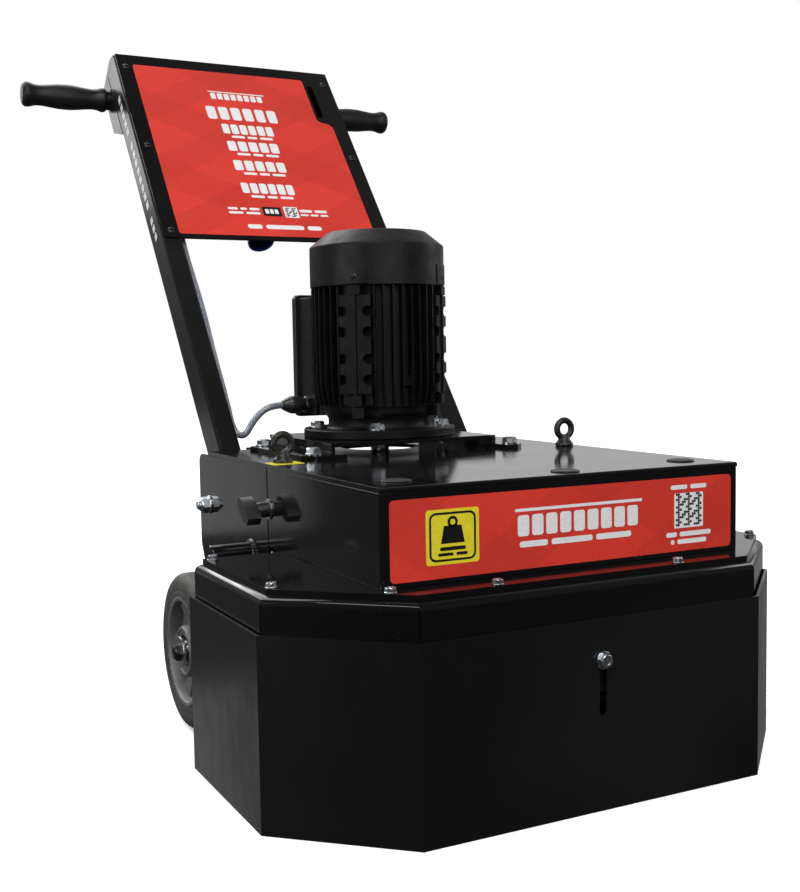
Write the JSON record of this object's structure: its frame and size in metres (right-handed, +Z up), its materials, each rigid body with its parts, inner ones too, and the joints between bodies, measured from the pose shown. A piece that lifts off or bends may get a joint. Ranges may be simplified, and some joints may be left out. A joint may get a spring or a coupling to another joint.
{
  "type": "walk-behind floor grinder",
  "caption": "Walk-behind floor grinder: two belt-driven grinding heads in a floating skirt, flange motor on top, rear wheels and a tilting handle with grips and dash panel.",
  "frame": {"origin": "on the floor, midway along the machine's length and width", "axes": "+Z up, +Y back towards the operator, +X to the right as seen from the front; left means the -X side"},
  "size_m": [0.668, 1.162, 0.9566],
  "materials": {
    "gloss_black": "gloss black powder coat",
    "satin_black": "satin black powder coat",
    "motor_black": "satin black enamel over castings",
    "zinc": "bright zinc plate",
    "bright_steel": "turned steel",
    "black_steel": "black oxide",
    "forged_steel": "dark forged steel",
    "cast_iron": "machined cast iron",
    "cast_aluminium": "cast aluminium",
    "tyre_rubber": "grey-black solid rubber",
    "rubber_black": "moulded black rubber",
    "plastic_black": "moulded black plastic",
    "plastic_blue": "moulded blue plastic",
    "plastic_green": "moulded green plastic",
    "plastic_red": "moulded red plastic",
    "stator_core": "laminated steel with copper windings",
    "disc_paint": "painted steel disc",
    "shoe_steel": "sintered diamond segments on steel",
    "cable_sheath": "clear sheath over steel braid"
  },
  "bodies": {
    "chassis": {"dust_pan": "gloss_black", "base_plate": "gloss_black", "base_screws": "zinc", "side_plate_left": "gloss_black", "side_plate_right": "gloss_black", "front_cover": "gloss_black", "top_plate": "gloss_black", "top_plugs": "rubber_black", "lifting_eyes": "forged_steel", "lashing_stubs": "gloss_black", "wheel_axle": "bright_steel", "axle_fasteners": "zinc", "motor_bridge": "gloss_black", "motor_bolts": "zinc", "motor_flange": "motor_black", "motor_body": "motor_black", "fan_cowl": "motor_black", "terminal_box": "motor_black", "terminal_box_lid": "plastic_black", "motor_gland": "plastic_black", "bearings": "bright_steel", "stator_core": "stator_core", "spindle_housings": "cast_iron", "drive_belt": "rubber_black", "skirt_guide_bolts": "zinc", "dust_port": "gloss_black", "pivot_bolts": "zinc", "motor_cable": "cable_sheath"},
    "skirt": {"skirt": "satin_black"},
    "rotor": {"rotor_shaft": "bright_steel", "cooling_fan": "plastic_black", "motor_pulley": "cast_iron"},
    "head_left": {"spindle_left": "bright_steel", "head_pulley_left": "cast_iron", "grinding_plate_left": "disc_paint", "diamond_shoes_left": "shoe_steel"},
    "head_right": {"spindle_right": "bright_steel", "head_pulley_right": "cast_iron", "grinding_plate_right": "disc_paint", "diamond_shoes_right": "shoe_steel"},
    "wheel_left": {"wheel_hub_left": "cast_aluminium", "tyre_left": "tyre_rubber"},
    "wheel_right": {"wheel_hub_right": "cast_aluminium", "tyre_right": "tyre_rubber"},
    "handle": {"upright_left": "satin_black", "upright_right": "satin_black", "handle_crossbar": "satin_black", "dash_panel": "gloss_black", "dash_screws": "black_steel", "control_box": "satin_black", "switch_box": "plastic_black", "power_inlet": "plastic_blue", "panel_gland": "plastic_black", "handlebar": "satin_black", "grip_left": "rubber_black", "grip_right": "rubber_black"},
    "start_button": {"start_button": "plastic_green"},
    "stop_button": {"stop_button": "plastic_red"},
    "cover_knob_left": {"cover_knob_left": "plastic_black"},
    "cover_knob_right": {"cover_knob_right": "plastic_black"}
  },
  "joints": [
    {"name": "handle_tilt", "type": "hinge", "parent": "chassis", "child": "handle", "pos_m": [0, -0.01676, 0.2599], "axis": [1, 0, 0], "range_deg": [-20, 15], "deforming": ["motor_cable"]},
    {"name": "skirt_lift", "type": "slide", "parent": "chassis", "child": "skirt", "axis": [0, 0, 1], "range_m": [0, 0.05]},
    {"name": "wheel_left_spin", "type": "hinge", "parent": "chassis", "child": "wheel_left", "pos_m": [-0.261, -0.11156, 0.095], "axis": [1, 0, 0], "continuous": true},
    {"name": "wheel_right_spin", "type": "hinge", "parent": "chassis", "child": "wheel_right", "pos_m": [0.261, -0.11156, 0.095], "axis": [1, 0, 0], "continuous": true},
    {"name": "head_left_spin", "type": "hinge", "parent": "chassis", "child": "head_left", "pos_m": [-0.125, -0.41356, 0], "axis": [0, 0, 1], "continuous": true},
    {"name": "head_right_spin", "type": "hinge", "parent": "chassis", "child": "head_right", "pos_m": [0.125, -0.41356, 0], "axis": [0, 0, 1], "continuous": true},
    {"name": "motor_spin", "type": "hinge", "parent": "chassis", "child": "rotor", "pos_m": [0, -0.08416, 0.45], "axis": [0, 0, 1], "continuous": true},
    {"name": "start_press", "type": "slide", "parent": "handle", "child": "start_button", "axis": [0, -0.7798, 0.6261], "range_m": [0, 0.003], "stiffness_N_per_m": 400, "springref_m": -0.003},
    {"name": "stop_press", "type": "slide", "parent": "handle", "child": "stop_button", "axis": [0, -0.7798, 0.6261], "range_m": [0, 0.004], "stiffness_N_per_m": 500, "springref_m": -0.003},
    {"name": "cover_knob_left_turn", "type": "hinge", "parent": "chassis", "child": "cover_knob_left", "pos_m": [-0.216, -0.23606, 0.278], "axis": [-1, 0, 0], "continuous": true},
    {"name": "cover_knob_right_turn", "type": "hinge", "parent": "chassis", "child": "cover_knob_right", "pos_m": [0.216, -0.23606, 0.278], "axis": [1, 0, 0], "continuous": true}
  ],
  "couplings": [
    {"joint": "head_right_spin", "follows": "head_left_spin", "ratio": 1},
    {"joint": "motor_spin", "follows": "head_left_spin", "ratio": 1.5}
  ]
}
